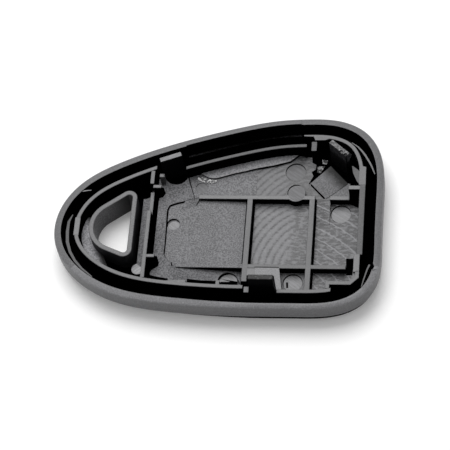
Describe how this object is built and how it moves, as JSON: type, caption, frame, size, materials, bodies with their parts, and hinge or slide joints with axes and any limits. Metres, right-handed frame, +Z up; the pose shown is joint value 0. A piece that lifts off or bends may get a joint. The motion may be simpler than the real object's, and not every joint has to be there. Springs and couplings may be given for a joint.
{
  "type": "car key shell half",
  "caption": "Open back half of a teardrop-shaped remote car key shell, with a ribbed circuit board bay, a keyring eye and snap hooks that close it onto its other half.",
  "frame": {"origin": "middle of the shell's footprint, on its back face, which it lies on", "axes": "+X from the keyring end to the wide end, +Y from the front long side to the rear one, +Z up out of the open inside"},
  "size_m": [0.0662, 0.0443, 0.009],
  "materials": {
    "shell_plastic": "fine spark-eroded grain, dark charcoal black",
    "hook_plastic": "smoother satin black, as moulded against polished steel"
  },
  "bodies": {
    "shell": {"back_cover": "shell_plastic", "keyring_sleeve": "shell_plastic", "arc_wall_rear": "shell_plastic", "front_wall": "shell_plastic", "rear_wall": "shell_plastic", "corner_wall": "shell_plastic", "right_wall": "shell_plastic", "right_block": "shell_plastic", "front_wall_right": "shell_plastic", "step_wall": "shell_plastic", "locating_tab": "shell_plastic", "cross_wall": "shell_plastic", "cross_wall_rear": "shell_plastic", "rear_rib": "shell_plastic", "rear_rib_stub": "shell_plastic", "front_rib_left": "shell_plastic", "front_rib_middle": "shell_plastic", "front_rib_right": "shell_plastic", "cell_rib_left": "shell_plastic", "cell_rib_right": "shell_plastic", "hook_frame": "shell_plastic", "ejector_boss": "shell_plastic", "post_hook_left": "shell_plastic", "post_corner": "shell_plastic", "post_cross_rear": "shell_plastic", "post_cross_front": "shell_plastic", "post_right": "shell_plastic", "post_window": "shell_plastic"},
    "left_hook": {"snap_hook_left": "hook_plastic"},
    "front_hook": {"snap_hook_front": "hook_plastic"},
    "corner_hook": {"snap_hook_corner": "hook_plastic"}
  },
  "joints": [
    {"name": "left_hook_flex", "type": "hinge", "parent": "shell", "child": "left_hook", "pos_m": [-0.0102, 0.01058, 0.0016], "axis": [0.9342, 0.3567, 0], "range_deg": [0, 6], "stiffness_Nm_per_rad": 0.3},
    {"name": "front_hook_flex", "type": "hinge", "parent": "shell", "child": "front_hook", "pos_m": [0.0099, -0.0169, 0.0016], "axis": [-1, 0, 0], "range_deg": [0, 6], "stiffness_Nm_per_rad": 0.3},
    {"name": "corner_hook_flex", "type": "hinge", "parent": "shell", "child": "corner_hook", "pos_m": [0.0239, 0.013, 0.0016], "axis": [0.7478, -0.6639, 0], "range_deg": [0, 6], "stiffness_Nm_per_rad": 0.3}
  ]
}
